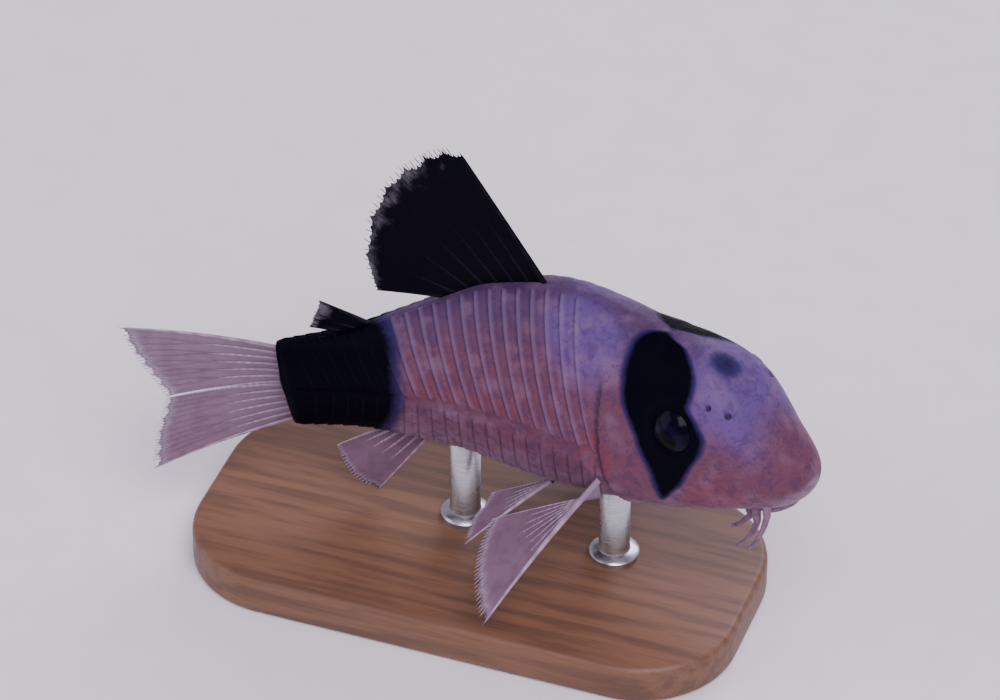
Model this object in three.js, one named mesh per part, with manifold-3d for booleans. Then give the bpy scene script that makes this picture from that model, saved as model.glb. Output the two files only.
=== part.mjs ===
// A panda corydoras catfish at life size, swimming, held over a flat display base by two short rods.
// Millimetres, +Z up. The origin is the centre of the base's underside, and the fish looks towards +X.
//
// The fish is first shaped straight, by its share of the standard length: 0 at the snout tip, 1 at the
// tail fin's root. Then one gentle curve bends all of it, hollow on its right side (-Y), and it is pitched
// nose up, as it swims in the photograph.
import * as THREE from "three";
import { mergeVertices } from "three/addons/utils/BufferGeometryUtils.js";
import Module from "manifold-3d";

// Driving dimensions
const STANDARD_LENGTH = 40; // snout tip to the tail fin's root
const SNOUT_X = 25; // where the snout tip is before the bend
const BEND_RADIUS = 70; // of the resting curve of the whole body
const BEND_Y = 1.9; // sideways shift that centres the bent fish over its base
const PITCH = 12; // nose up, in degrees
const NODE_GAP = 0.3; // between two sub-parts that touch
const CUT = (1.3 * NODE_GAP) / STANDARD_LENGTH; // between the slanted ends of two lengths of the body
const BASE_SIZE = { length: 40, width: 20, height: 3, corner: 7, bevel: 0.5 };
const BELLY_Z = 9; // the belly above what the base stands on, before the pitch
const PIVOT_Z = BELLY_Z + 7.5; // the height that the pitch turns about
const ROD_RADIUS = 1.1;
const ROD_PLACES = { front: 0.42, rear: 0.7 };

// The body's outline, in millimetres above the belly, by share of the standard length
const STATIONS = [
  { at: 0, top: 3.2, under: 3.2, half: 0, wide: 0.5, upper: 2, lower: 2 },
  { at: 0.02, top: 5.2, under: 1.5, half: 1.9, wide: 0.45, upper: 2, lower: 2.2 },
  { at: 0.06, top: 7.5, under: 0.75, half: 2.9, wide: 0.4, upper: 2, lower: 2.4 },
  { at: 0.12, top: 10.4, under: 0.4, half: 3.95, wide: 0.4, upper: 2.6, lower: 2.7 },
  { at: 0.2, top: 12.3, under: 0.15, half: 4.8, wide: 0.34, upper: 2.05, lower: 2.9 },
  { at: 0.28, top: 13.2, under: 0, half: 5.15, wide: 0.32, upper: 1.85, lower: 3 },
  { at: 0.37, top: 14.6, under: 0, half: 5.3, wide: 0.36, upper: 1.8, lower: 3 },
  { at: 0.47, top: 15.4, under: 0.1, half: 5.1, wide: 0.4, upper: 1.82, lower: 2.8 },
  { at: 0.58, top: 15.0, under: 0.5, half: 4.4, wide: 0.43, upper: 1.85, lower: 2.5 },
  { at: 0.68, top: 13.6, under: 1.4, half: 3.6, wide: 0.46, upper: 1.9, lower: 2.2 },
  { at: 0.78, top: 12.1, under: 2.1, half: 2.7, wide: 0.48, upper: 2, lower: 2.1 },
  { at: 0.88, top: 10.8, under: 2.9, half: 1.9, wide: 0.5, upper: 2.1, lower: 2.1 },
  { at: 1, top: 10.2, under: 3.3, half: 1.15, wide: 0.5, upper: 2.2, lower: 2.2 },
];

// The gill opening, which runs further back at mid side
const GILL_CUT = { at: 0.315, bulge: 0.035 };

// Body armour: two rows of plates a side, each lapping over the one behind it
const PLATES = { first: 0.392, pitch: 0.0345, height: 0.3, step: 0.1 / STANDARD_LENGTH, slant: 0.05 };
const TRUNK_PLATES = 10;
const TAIL_PLATES = 6;
const SEGMENTS = 36; // round the body

// Head
const EYE = { at: 0.205, z: 7.4, radius: 2.1, sunk: 1.6 };
const NOSTRILS = [
  { at: 0.105, angle: 38, radius: 0.42 },
  { at: 0.135, angle: 42, radius: 0.36 },
];
const MOUTH = { at: 0.075, half: 1.9, lip: 0.42, z: 0.8 };

const shareX = (at) => SNOUT_X - at * STANDARD_LENGTH;
const radians = THREE.MathUtils.degToRad;
const mix = THREE.MathUtils.lerp;
const point = (x, y, z) => new THREE.Vector3(x, y, z);
const unit = (x, y, z) => point(x, y, z).normalize();

// Smooth outline without overshoot: a monotone cubic through the stations. It runs on the square root of
// the share, which makes the snout round.
function outline(key, at) {
  const w = (station) => Math.sqrt(station.at);
  const where = Math.sqrt(THREE.MathUtils.clamp(at, 0, 1));
  const last = STATIONS.length - 2;
  let i = 0;
  while (i < last && w(STATIONS[i + 1]) < where) i += 1;
  const slope = (a) => {
    const [p, q] = [STATIONS[a], STATIONS[a + 1]];
    return p && q ? (q[key] - p[key]) / (w(q) - w(p)) : undefined;
  };
  const tangent = (a) => {
    const [before, after] = [slope(a - 1), slope(a)];
    if (before === undefined || after === undefined) return before ?? after;
    return before * after <= 0 ? 0 : (2 * before * after) / (before + after);
  };
  const [from, to] = [STATIONS[i], STATIONS[i + 1]];
  const span = w(to) - w(from);
  const f = (where - w(from)) / span;
  const rise = f * f * (3 - 2 * f);
  const hump = span * (tangent(i) * f * (1 - f) ** 2 - tangent(i + 1) * f * f * (1 - f));
  return mix(from[key], to[key], rise) + hump;
}

// A point on the skin: angle 0 is the back's ridge, 90 the left side, 180 the belly
function skin(at, angle, raised = 0) {
  const turn = radians(angle);
  const [top, under] = [outline("top", at), outline("under", at)];
  const middle = mix(under, top, outline("wide", at));
  const above = Math.cos(turn) >= 0;
  const power = 2 / outline(above ? "upper" : "lower", at);
  const across = Math.sign(Math.sin(turn)) * Math.abs(Math.sin(turn)) ** power;
  const up = Math.sign(Math.cos(turn)) * Math.abs(Math.cos(turn)) ** power;
  const y = outline("half", at) * across;
  const z = (above ? top - middle : middle - under) * up;
  const stretch = 1 + raised / Math.max(Math.hypot(y, z), 1e-6);
  return point(shareX(at), y * stretch, BELLY_Z + middle + z * stretch);
}

// Outward direction of the skin, measured on it
function outward(at, angle) {
  const step = 0.004;
  const along = skin(at + step, angle).sub(skin(at - step, angle));
  const round = skin(at, angle + 1).sub(skin(at, angle - 1));
  return round.cross(along).normalize();
}

// Bends and pitches a point of the straight fish
function bend(p) {
  const turn = p.x / BEND_RADIUS;
  const reach = BEND_RADIUS + p.y;
  const [x, z] = [reach * Math.sin(turn), p.z - PIVOT_Z];
  const [cos, sin] = [Math.cos(radians(PITCH)), Math.sin(radians(PITCH))];
  return p.set(x * cos - z * sin, reach * Math.cos(turn) - BEND_RADIUS + BEND_Y, PIVOT_Z + x * sin + z * cos);
}

// A closed surface has its faces turned to look out
function closed(points, faces) {
  const geometry = new THREE.BufferGeometry().setFromPoints(points);
  let volume = 0;
  for (const [a, b, c] of faces) volume += points[a].dot(points[b].clone().cross(points[c]));
  geometry.setIndex(faces.flatMap(([a, b, c]) => (volume < 0 ? [a, c, b] : [a, b, c])));
  return geometry;
}

// Rings of equal size joined one after another, with a point at each end
function loft(rings, start, end) {
  const round = rings[0].length;
  const points = [...rings.flat(), start, end];
  const faces = [];
  for (let k = 0; k < round; k += 1) {
    const next = (k + 1) % round;
    const back = (rings.length - 1) * round;
    faces.push([points.length - 2, next, k], [points.length - 1, back + k, back + next]);
    for (let r = 0; r + 1 < rings.length; r += 1) {
      const [a, b] = [r * round + k, r * round + next];
      faces.push([a, b, b + round], [a, b + round, a + round]);
    }
  }
  return closed(points, faces);
}

// A thin plate: a grid of columns and rows, split into triangles alike on both faces
function slab(columns, rows, place) {
  const points = [];
  const id = (side, c, r) => side * columns * rows + c * rows + r;
  for (const side of [0, 1])
    for (let c = 0; c < columns; c += 1)
      for (let r = 0; r < rows; r += 1) points.push(place(c, r, side * 2 - 1));
  const faces = [];
  const quad = (a, b, c, d) => faces.push([a, b, c], [a, c, d]);
  for (let c = 0; c + 1 < columns; c += 1) {
    for (let r = 0; r + 1 < rows; r += 1) {
      quad(id(0, c, r), id(0, c + 1, r), id(0, c + 1, r + 1), id(0, c, r + 1));
      faces.push([id(1, c, r), id(1, c + 1, r + 1), id(1, c + 1, r)]);
      faces.push([id(1, c, r), id(1, c, r + 1), id(1, c + 1, r + 1)]);
    }
    quad(id(1, c, 0), id(1, c + 1, 0), id(0, c + 1, 0), id(0, c, 0));
    quad(id(0, c, rows - 1), id(0, c + 1, rows - 1), id(1, c + 1, rows - 1), id(1, c, rows - 1));
  }
  for (let r = 0; r + 1 < rows; r += 1) {
    quad(id(0, 0, r), id(0, 0, r + 1), id(1, 0, r + 1), id(1, 0, r));
    const end = columns - 1;
    quad(id(1, end, r), id(1, end, r + 1), id(0, end, r + 1), id(0, end, r));
  }
  return closed(points, faces);
}

// A tapered round feeler along a curve
function feeler(curve, rootRadius, tipRadius, sides = 8, steps = 10) {
  const frames = curve.computeFrenetFrames(steps);
  const rings = [];
  for (let s = 0; s <= steps; s += 1) {
    const f = s / steps;
    const radius = mix(rootRadius, tipRadius, f);
    const ring = [];
    for (let k = 0; k < sides; k += 1) {
      const turn = (2 * Math.PI * k) / sides;
      const side = frames.normals[s].clone().multiplyScalar(Math.cos(turn) * radius);
      side.addScaledVector(frames.binormals[s], Math.sin(turn) * radius);
      ring.push(curve.getPointAt(f).add(side));
    }
    rings.push(ring);
  }
  const tip = curve.getPointAt(1).addScaledVector(frames.tangents[steps], tipRadius * 0.6);
  return loft(rings, curve.getPointAt(0), tip);
}

// Booleans
const wasm = await Module();
wasm.setup();

function solid(geometry) {
  const bare = geometry.index ? geometry.clone() : mergeVertices(geometry);
  for (const name of ["normal", "uv"]) bare.deleteAttribute(name);
  const merged = mergeVertices(bare, 1e-4);
  const vertProperties = new Float32Array(merged.attributes.position.array);
  const triVerts = new Uint32Array(merged.index.array);
  return new wasm.Manifold(new wasm.Mesh({ numProp: 3, vertProperties, triVerts }));
}

function surface(manifold) {
  const pieces = manifold.decompose().sort((a, b) => b.volume() - a.volume());
  const mesh = pieces[0].getMesh();
  const positions = new Float32Array(mesh.numVert * 3);
  for (let i = 0; i < mesh.numVert; i += 1)
    positions.set(mesh.vertProperties.subarray(i * mesh.numProp, i * mesh.numProp + 3), i * 3);
  const geometry = new THREE.BufferGeometry();
  geometry.setAttribute("position", new THREE.BufferAttribute(positions, 3));
  geometry.setIndex(new THREE.BufferAttribute(mesh.triVerts, 1));
  return geometry;
}

function ball(centre, radius, flat = 1, sides = 20) {
  const geometry = new THREE.SphereGeometry(radius, sides, Math.round(sides * 0.6));
  return geometry.scale(1, flat, 1).translate(centre.x, centre.y, centre.z);
}

// Materials, with the mauve and pink of the photographed fish
const material = (color, roughness, metalness = 0) =>
  new THREE.MeshStandardMaterial({ color, roughness, metalness });
const MATERIALS = {
  skin: material("#a58497", 0.42),
  mask: material("#14101f", 0.4),
  fin: material("#b5a0ac", 0.5),
  eye: material("#0d0b12", 0.12),
  wood: material("#5b3d28", 0.5),
  steel: material("#b9bcc0", 0.3, 1),
};

const model = new THREE.Group();
const fish = new THREE.Group();
const stand = new THREE.Group();
fish.name = "fish";
stand.name = "stand";
model.add(fish, stand);

function add(group, name, geometry, finish) {
  const mesh = new THREE.Mesh(geometry, finish);
  mesh.name = name;
  group.add(mesh);
}

function addToFish(name, geometry, finish) {
  const place = geometry.attributes.position;
  const p = point(0, 0, 0);
  for (let i = 0; i < place.count; i += 1) {
    bend(p.fromBufferAttribute(place, i));
    place.setXYZ(i, p.x, p.y, p.z);
  }
  add(fish, name, geometry, finish);
}

// The angles round a section, closer together at the mid side where the two rows of plates meet
const ANGLES = Array.from({ length: SEGMENTS }, (_, k) => {
  const even = (360 * k) / SEGMENTS;
  return even - 5 * Math.sin(radians(2 * even)) * Math.cos(radians(even)) ** 2;
});

const gillCut = (angle) => GILL_CUT.at + GILL_CUT.bulge * Math.sin(radians(angle)) ** 2;

// How far an angle is from the mid side of its flank
const fromMidSide = (angle) => Math.abs(Math.abs(((angle + 180) % 360) - 180) - 90);

// A plate's edge runs forward from the back to the mid side, and backward again below it
const slanted = (angle) => PLATES.slant * (fromMidSide(angle) / 90 - 0.5);

// How much of a plate's height stands at an angle: none at the back's ridge, the mid side and the belly
function plateShare(angle) {
  const edge = Math.min(fromMidSide(angle), 82 - fromMidSide(angle));
  return THREE.MathUtils.smoothstep(edge, 0, 9);
}

const plateStart = (plate) => PLATES.first + plate * PLATES.pitch;

// Rings over a run of plates. The front of each plate lies low and its rear edge stands proud.
function plateRings(from, count) {
  const rings = [];
  const levels = [
    { f: 0, raised: 0 },
    { f: 0.45, raised: 0.7 },
    { f: 1, raised: 1 },
  ];
  for (let plate = from; plate < from + count; plate += 1) {
    for (const { f, raised } of levels) {
      const at = plateStart(plate) + PLATES.step + f * (PLATES.pitch - PLATES.step);
      const rise = (angle) => raised * PLATES.height * plateShare(angle);
      rings.push(ANGLES.map((angle) => skin(at + slanted(angle), angle, rise(angle))));
    }
  }
  return rings;
}

const centreOf = (at) => point(shareX(at), 0, BELLY_Z + mix(outline("under", at), outline("top", at), 0.5));

// Head: everything in front of the gill opening
function head() {
  const count = 22;
  const rings = [];
  for (let r = 1; r <= count; r += 1) {
    const f = (r / count) ** 1.6;
    rings.push(ANGLES.map((angle) => skin(mix(0.0004, gillCut(angle), f), angle)));
  }
  let made = solid(loft(rings, skin(0, 0), centreOf(GILL_CUT.at)));

  // Lips round the small mouth, low under the snout
  for (const [shift, width, drop] of [
    [0, 1, 0],
    [1.0, 0.8, -0.1],
  ]) {
    const half = MOUTH.half * width;
    const x = shareX(MOUTH.at) - shift;
    const z = BELLY_Z + MOUTH.z + drop;
    const lip = new THREE.CatmullRomCurve3([
      point(x - 0.9, -half, z + 0.2),
      point(x + 0.1, -half * 0.72, z - 0.05),
      point(x + 0.75, 0, z - 0.1),
      point(x + 0.1, half * 0.72, z - 0.05),
      point(x - 0.9, half, z + 0.2),
    ]);
    made = made.add(solid(feeler(lip, MOUTH.lip, MOUTH.lip, 8, 12)));
  }

  for (const side of [-1, 1]) {
    for (const nostril of NOSTRILS) {
      const centre = skin(nostril.at, nostril.angle * side, -0.05);
      made = made.subtract(solid(ball(centre, nostril.radius, 1, 10)));
    }
    made = made.subtract(solid(ball(eyeCentre(side), EYE.radius + NODE_GAP, 1, 24)));
  }
  return surface(made);
}

// The angle round the body at which the skin has a height above the belly
function angleAtHeight(at, z) {
  let [low, high] = [0, 180];
  for (let step = 0; step < 30; step += 1) {
    const middle = (low + high) / 2;
    if (skin(at, middle).z - BELLY_Z > z) low = middle;
    else high = middle;
  }
  return low;
}

function eyeCentre(side) {
  const angle = angleAtHeight(EYE.at, EYE.z);
  const p = skin(EYE.at, angle * side);
  return p.addScaledVector(point(0, side, 0), -EYE.sunk);
}

function trunk() {
  const front = [0, 0.5].map((f) =>
    ANGLES.map((angle) => skin(mix(gillCut(angle) + CUT, PLATES.first + slanted(angle), f), angle))
  );
  const rings = [...front, ...plateRings(0, TRUNK_PLATES)];
  return loft(rings, centreOf(GILL_CUT.at + CUT), centreOf(plateStart(TRUNK_PLATES)));
}

function tailStalk() {
  const start = plateStart(TRUNK_PLATES) + CUT;
  const first = ANGLES.map((angle) => skin(start + slanted(angle), angle));
  const plates = plateRings(TRUNK_PLATES, TAIL_PLATES).slice(1);
  const root = ANGLES.map((angle) => skin(1, angle));
  return loft([first, ...plates, root], centreOf(start), centreOf(1));
}

// A fin: rays fan out from its root line, ridges on the membrane between them, and end in free tips
function fin({ rays, root, direction, length, across, thick, steps = 6, spine = 1, curl = 0, fray = 0.1 }) {
  const edge = { half: 0.12, reach: 0.97 };
  const tip = 0.14;
  const columns = [{ ...edge, q: 0, ahead: spine * thick * 0.9 }];
  for (let k = 0; k < rays; k += 1) {
    const q = k / (rays - 1);
    const between = q + 0.5 / (rays - 1);
    columns.push({ q, ahead: 0, half: thick * (k === 0 ? spine : 1), reach: 1 });
    if (k < rays - 1) columns.push({ q: between, ahead: 0, half: thick * 0.62, reach: 1 - fray });
  }
  columns.push({ ...edge, q: 1, ahead: -thick * 0.8 });
  return slab(columns.length, steps + 1, (c, r, side) => {
    const { q, ahead, half, reach } = columns[c];
    const f = r / steps;
    const normal = across(q);
    const run = direction(q);
    const forward = root(0).sub(root(1)).normalize();
    const p = root(q).addScaledVector(run, length(q) * reach * f);
    p.addScaledVector(forward, ahead * mix(1, 0.4, f));
    p.addScaledVector(normal, curl * f * f);
    return p.addScaledVector(normal, side * mix(half, Math.min(half, tip), f ** 1.5));
  });
}

const lean = (back) => unit(-Math.sin(radians(back)), 0, Math.cos(radians(back)));
const leftward = () => point(0, 1, 0);

function dorsalFin() {
  const [front, rear] = [0.48, 0.69];
  return fin({
    rays: 8,
    root: (q) => skin(mix(front, rear, q), 0, NODE_GAP),
    direction: (q) => lean(mix(22, 84, q ** 2.8)),
    length: (q) => 10.9 * (1 + 0.5 * q) * (1 - 0.74 * q ** 1.5),
    across: leftward,
    thick: 0.42,
    spine: 1.15,
    steps: 7,
    fray: 0.12,
  });
}

function adiposeFin() {
  const [front, rear] = [0.835, 0.895];
  return fin({
    rays: 3,
    root: (q) => skin(mix(front, rear, q), 0, NODE_GAP),
    direction: (q) => lean(mix(58, 78, q)),
    length: (q) => mix(3.4, 1.6, q),
    across: leftward,
    thick: 0.32,
    spine: 1.2,
    steps: 4,
  });
}

function analFin() {
  const [front, rear] = [0.765, 0.85];
  return fin({
    rays: 6,
    root: (q) => skin(mix(front, rear, q), 180, NODE_GAP),
    direction: (q) => lean(180 - mix(46, 70, q)),
    length: (q) => 7 * (1 - 0.45 * q ** 1.5),
    across: leftward,
    thick: 0.34,
    steps: 5,
  });
}

// Each half of the forked tail fin: side 1 is the upper, -1 the lower
function tailLobe(side) {
  const rootX = shareX(1) - NODE_GAP;
  const middle = BELLY_Z + 6.75;
  return fin({
    rays: 7,
    root: (q) => point(rootX - 0.3 * q, 0, middle + side * mix(3.1, NODE_GAP / 2 + 0.35, q)),
    direction: (q) => lean(86 - side * mix(16, 0.2, q)),
    length: (q) => 11 - 3 * q,
    across: leftward,
    thick: 0.42,
    spine: 1,
    steps: 7,
    curl: -0.9,
    fray: 0.09,
  });
}

// Where a paired fin leaves the skin, far enough out for its thickness
function finRoot(at, angle, across, thick) {
  const out = outward(at, angle);
  const clear = NODE_GAP + 0.15;
  return skin(at, angle).addScaledVector(out, clear + 1.3 * thick * Math.abs(across.dot(out)));
}

// Paired fins: side 1 is the left
function pectoralFin(side) {
  const thick = 0.38;
  const run = (q) => unit(mix(-0.52, -0.95, q), side * mix(0.7, 0.28, q), mix(-0.48, -0.14, q));
  const across = run(0).cross(run(1)).normalize();
  return fin({
    rays: 8,
    root: (q) => {
      const at = mix(0.372, 0.395, q);
      return finRoot(at, angleAtHeight(at, mix(3.1, 1.4, q)) * side, across, thick);
    },
    direction: run,
    length: (q) => 12.6 - 4.4 * q ** 1.1,
    across: () => across,
    thick,
    spine: 1.25,
    steps: 6,
  });
}

function pelvicFin(side) {
  const thick = 0.34;
  const run = (q) => unit(mix(-0.78, -0.97, q), side * mix(0.5, 0.1, q), mix(-0.38, -0.24, q));
  const across = run(0).cross(run(1)).normalize();
  return fin({
    rays: 6,
    root: (q) => finRoot(mix(0.515, 0.53, q), mix(146, 163, q) * side, across, thick),
    direction: run,
    length: (q) => 7.4 - 2.8 * q,
    across: () => across,
    thick,
    steps: 5,
  });
}

// Barbels hang from the corners of the mouth and from the lower lip. Each starts clear of the skin, leaves
// it squarely, then hangs outward, down and back through its points.
const BARBELS = {
  upper: {
    root: { at: 0.065, angle: 134, clear: 0.31 },
    hang: [[-0.3, 0.3, -0.9], [-0.9, 0.6, -1.9], [-1.7, 0.8, -2.7]],
  },
  lower: {
    root: { at: 0.095, angle: 150, clear: 0.57 },
    hang: [[-0.4, 0.2, -0.8], [-1.1, 0.4, -1.6], [-1.9, 0.5, -2.2]],
  },
  chin: {
    root: { at: 0.125, angle: 166, clear: 0.43 },
    hang: [[-0.5, 0.1, -0.5], [-1.1, 0.2, -1], [-1.8, 0.2, -1.3]],
  },
};

function barbel({ root: { at, angle, clear }, hang }, side) {
  const out = outward(at, angle * side);
  const start = skin(at, angle * side).addScaledVector(out, clear);
  const knee = start.clone().addScaledVector(out, 0.35);
  const along = hang.map(([dx, dy, dz]) => knee.clone().add(point(dx, side * dy, dz)));
  return feeler(new THREE.CatmullRomCurve3([start, knee, ...along]), 0.36, 0.24, 8, 10);
}

addToFish("head", head(), MATERIALS.skin);
addToFish("trunk", trunk(), MATERIALS.skin);
addToFish("tail_stalk", tailStalk(), MATERIALS.skin);
addToFish("dorsal_fin", dorsalFin(), MATERIALS.mask);
addToFish("adipose_fin", adiposeFin(), MATERIALS.fin);
addToFish("anal_fin", analFin(), MATERIALS.fin);
addToFish("tail_fin_upper", tailLobe(1), MATERIALS.fin);
addToFish("tail_fin_lower", tailLobe(-1), MATERIALS.fin);
for (const [side, word] of [
  [1, "left"],
  [-1, "right"],
]) {
  addToFish("eye_" + word, ball(eyeCentre(side), EYE.radius, 1, 24), MATERIALS.eye);
  addToFish("pectoral_fin_" + word, pectoralFin(side), MATERIALS.fin);
  addToFish("pelvic_fin_" + word, pelvicFin(side), MATERIALS.fin);
  for (const [name, shape] of Object.entries(BARBELS))
    addToFish(`barbel_${name}_${word}`, barbel(shape, side), MATERIALS.skin);
}

// Display stand
function basePlate() {
  const { length, width, height, corner, bevel } = BASE_SIZE;
  const [x, y] = [length / 2 - bevel, width / 2 - bevel];
  const shape = new THREE.Shape();
  shape.moveTo(corner - x, -y);
  shape.absarc(x - corner, corner - y, corner, -Math.PI / 2, 0);
  shape.absarc(x - corner, y - corner, corner, 0, Math.PI / 2);
  shape.absarc(corner - x, y - corner, corner, Math.PI / 2, Math.PI);
  shape.absarc(corner - x, corner - y, corner, Math.PI, Math.PI * 1.5);
  const rise = { depth: height - 2 * bevel, bevelSize: bevel, bevelThickness: bevel, bevelSegments: 2 };
  return new THREE.ExtrudeGeometry(shape, { ...rise, curveSegments: 8 }).translate(0, 0, bevel);
}

// A rod stands on the base and stops just under the belly
function rod(at) {
  const belly = [-1, 0, 1].map((k) => bend(skin(at + (k * ROD_RADIUS) / STANDARD_LENGTH, 180)));
  const foot = belly[1];
  const height = Math.min(...belly.map((p) => p.z)) - NODE_GAP - BASE_SIZE.height;
  const geometry = new THREE.CylinderGeometry(ROD_RADIUS, ROD_RADIUS, height, 16);
  return geometry.rotateX(Math.PI / 2).translate(foot.x, foot.y, BASE_SIZE.height + height / 2);
}

add(stand, "stand_base", basePlate(), MATERIALS.wood);
for (const [word, at] of Object.entries(ROD_PLACES))
  add(stand, "stand_rod_" + word, rod(at), MATERIALS.steel);

export default model;
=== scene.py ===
"""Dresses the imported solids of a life-size panda corydoras catfish for its studio picture."""
import math
import random

import bmesh
import bpy
from mathutils import Matrix, Vector


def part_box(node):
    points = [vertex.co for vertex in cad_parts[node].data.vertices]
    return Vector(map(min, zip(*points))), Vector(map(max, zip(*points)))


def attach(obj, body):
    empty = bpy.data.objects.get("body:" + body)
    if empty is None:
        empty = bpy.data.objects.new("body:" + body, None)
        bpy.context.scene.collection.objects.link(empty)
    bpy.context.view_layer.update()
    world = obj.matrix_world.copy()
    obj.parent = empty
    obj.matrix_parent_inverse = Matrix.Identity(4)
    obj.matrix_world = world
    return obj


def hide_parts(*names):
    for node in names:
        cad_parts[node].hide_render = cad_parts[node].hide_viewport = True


bl_info = {
    "name": "Panda corydoras catfish",
    "version": (1, 0, 0),
    "blender": (4, 5, 0),
    "location": "3D View > Sidebar > Catfish",
    "description": "Skin, fins, eyes, barbels and display stand of a panda corydoras catfish",
    "category": "Add Mesh",
}

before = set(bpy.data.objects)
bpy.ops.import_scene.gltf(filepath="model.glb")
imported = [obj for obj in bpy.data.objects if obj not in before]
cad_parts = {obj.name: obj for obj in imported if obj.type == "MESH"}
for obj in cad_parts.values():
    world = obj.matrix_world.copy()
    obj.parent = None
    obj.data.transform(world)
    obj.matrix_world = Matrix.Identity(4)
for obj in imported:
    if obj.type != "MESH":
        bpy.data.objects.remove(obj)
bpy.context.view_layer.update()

# The body is worked out in millimetres, straight, by share of the standard length, as the solids are:
# 0 at the snout tip and 1 at the tail fin's root. Then one gentle curve bends it, and it pitches nose up.
MM = 0.001
STANDARD_LENGTH = 40.0
SNOUT_X = 25.0
BEND_RADIUS = 70.0
BEND_Y = 1.9
BELLY_Z = 9.0
PITCH = math.radians(12)
PIVOT_Z = BELLY_Z + 7.5  # the height that the pitch turns about
NODE_GAP = 0.3
ROOTED = 0.6  # how far a fin reaches back past its root; a barbel reaches 1.4 times as far into the skin

# Share of the length, top and underside above the belly, half width, height share of the widest place,
# and the corner powers above and below it
STATIONS = (
    (0.0, 3.2, 3.2, 0.0, 0.5, 2.0, 2.0),
    (0.02, 5.2, 1.5, 1.9, 0.45, 2.0, 2.2),
    (0.06, 7.5, 0.75, 2.9, 0.4, 2.0, 2.4),
    (0.12, 10.4, 0.4, 3.95, 0.4, 2.6, 2.7),
    (0.2, 12.3, 0.15, 4.8, 0.34, 2.05, 2.9),
    (0.28, 13.2, 0.0, 5.15, 0.32, 1.85, 3.0),
    (0.37, 14.6, 0.0, 5.3, 0.36, 1.8, 3.0),
    (0.47, 15.4, 0.1, 5.1, 0.4, 1.82, 2.8),
    (0.58, 15.0, 0.5, 4.4, 0.43, 1.85, 2.5),
    (0.68, 13.6, 1.4, 3.6, 0.46, 1.9, 2.2),
    (0.78, 12.1, 2.1, 2.7, 0.48, 2.0, 2.1),
    (0.88, 10.8, 2.9, 1.9, 0.5, 2.1, 2.1),
    (1.0, 10.2, 3.3, 1.15, 0.5, 2.2, 2.2),
)

GILL_AT, GILL_BULGE = 0.315, 0.035
PLATES_FROM, PLATES_TO, PLATES = 0.36, 0.985, 22
PLATE_SLANT = 0.05
PLATE_GROOVE = 0.52  # where a shallow groove runs down the middle of a plate, as a share of its length
# Shares of a plate's length from its front to its rear edge, and how high the plate is there
PLATE_PROFILE = (
    (0.06, 0.0),
    (0.14, 0.26),
    (0.28, 0.52),
    (0.42, 0.66),
    (PLATE_GROOVE, 0.55),
    (0.62, 0.72),
    (0.78, 0.94),
    (0.9, 1.0),
    (1.0, 0.94),
)
HEAD_COLUMNS = 130
SKIN_ROWS = 290
EYE_AT, EYE_Z, EYE_SUNK = 0.205, 7.4, 1.6
NOSTRILS = ((0.105, 38.0, 0.3), (0.135, 42.0, 0.27))  # share, angle and radius

# The black eye band by angle from the back: where its middle is and its half width in millimetres
EYE_BAND = (
    (0.0, 0.24, -0.3),
    (6.0, 0.247, 0.55),
    (10.0, 0.2395, 1.4),
    (16.0, 0.2375, 1.95),
    (22.0, 0.235, 2.35),
    (29.0, 0.232, 2.6),
    (38.0, 0.2325, 2.7),
    (48.0, 0.235, 2.6),
    (57.0, 0.2235, 2.8),
    (64.0, 0.2135, 2.75),
    (70.0, 0.2065, 2.65),
    (78.0, 0.2065, 2.3),
    (86.0, 0.213, 1.55),
    (94.0, 0.224, 0.95),
    (101.0, 0.2325, 0.5),
    (110.0, 0.243, 0.0),
    (122.0, 0.25, -1.2),
    (180.0, 0.25, -3.0),
)
# The front of the black block on the tail, by angle from the back
TAIL_BLOCK = (
    (0.0, 0.795),
    (25.0, 0.77),
    (46.0, 0.758),
    (88.0, 0.765),
    (110.0, 0.785),
    (132.0, 0.81),
    (180.0, 0.83),
)

# Round patches of the head and shoulder: share, angle, and the size and soft rim in millimetres
PATCHES = {
    "crown": (0.142, 0, 0.2, 1.9),
    # The shoulder patch places the painted violet sheen
    "shoulder": (0.38, 30, 1.8, 2.6),
    "cheek blush": (0.14, 112, 1.4, 2.6),
    "gill blush": (0.362, 88, 0.7, 1.3),
    "gill cover": (0.292, 100, 0.6, 2.4),
    "cheek bone": (0.165, 106, 0.5, 1.8),
}
HEAD_RADIUS = 6.5  # mean radius of the head's skin round its middle

# How proud the head's forms stand, in millimetres
SHIELD_HEIGHT, COVER_HEIGHT, CHEEK_HEIGHT, BROW_HEIGHT = 0.13, 0.2, 0.14, 0.1
SHIELD_HALF_WIDTHS = (3.0, 0.7)  # of the nape shield in front and behind
NAPE_RADII = (5.2, 6.6)  # of the back's curve across the head in front and behind
GILL_LIP, GILL_GROOVE = 0.2, 0.14
EYE_RIM, EYE_RIM_HEIGHT, EYE_SOCKET = 1.68, 0.12, 0.5
NOSTRIL_RIM, NOSTRIL_DEPTH = 0.08, 0.35


def mix(low, high, f):
    return low + (high - low) * f


def smooth(low, high, value):
    """0 below low, 1 above high, and a smooth rise between them."""
    f = min(max((value - low) / (high - low), 0.0), 1.0)
    return f * f * (3 - 2 * f)


def window(start, full, fade, end, value):
    """1 from full to fade, 0 before start and after end, and smooth in between."""
    return smooth(start, full, value) * (1 - smooth(fade, end, value))


def hump(value, middle, width):
    """1 at the middle, falling off smoothly to both sides."""
    return math.exp(-(((value - middle) / width) ** 2))


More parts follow.
